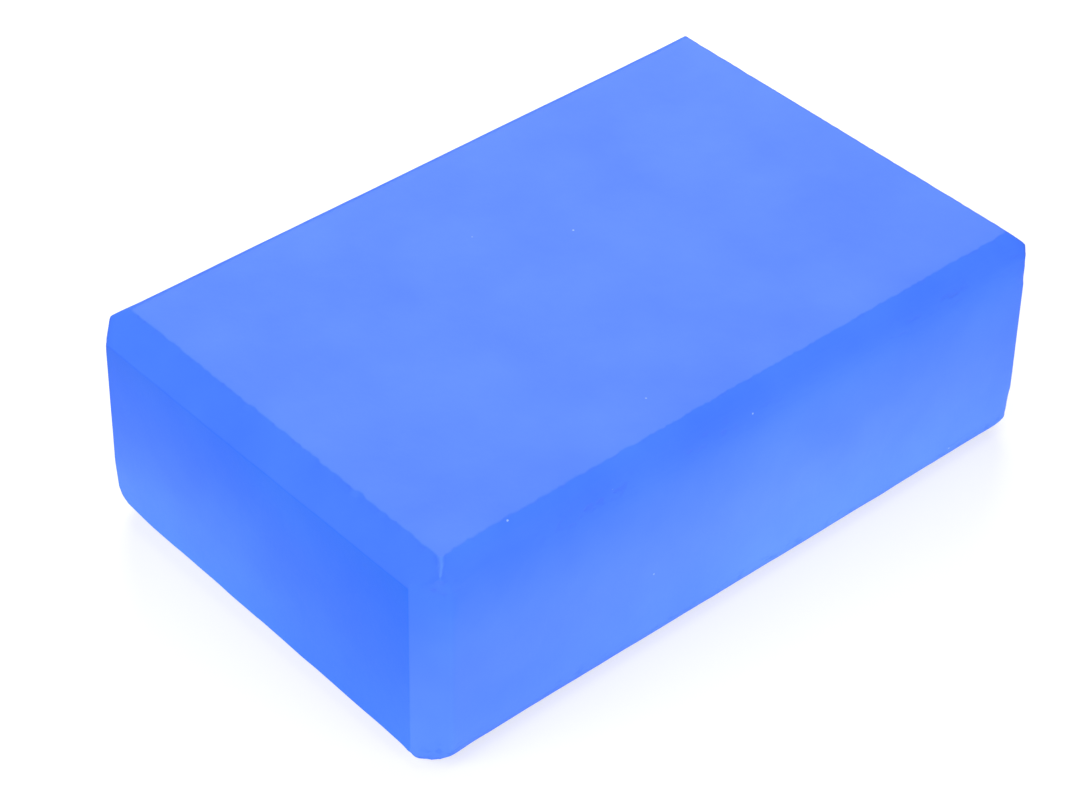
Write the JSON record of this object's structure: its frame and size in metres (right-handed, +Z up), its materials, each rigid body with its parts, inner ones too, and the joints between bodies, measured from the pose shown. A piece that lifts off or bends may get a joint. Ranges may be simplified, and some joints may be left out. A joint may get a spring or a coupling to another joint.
{
  "type": "foam block",
  "caption": "Rectangular closed-cell foam block with bevelled edges and mitred corners, used as a firm prop, spacer or cushion block.",
  "frame": {"origin": "centre of the base, on the surface that the block rests on", "axes": "+X along the length, +Y across the width, +Z up through the height"},
  "size_m": [0.23, 0.147, 0.073],
  "materials": {
    "foam": "matte closed-cell EVA foam, solid-coloured blue, fine-grained skin with cut bevels"
  },
  "bodies": {
    "root": {"foam_block": "foam"}
  },
  "joints": []
}
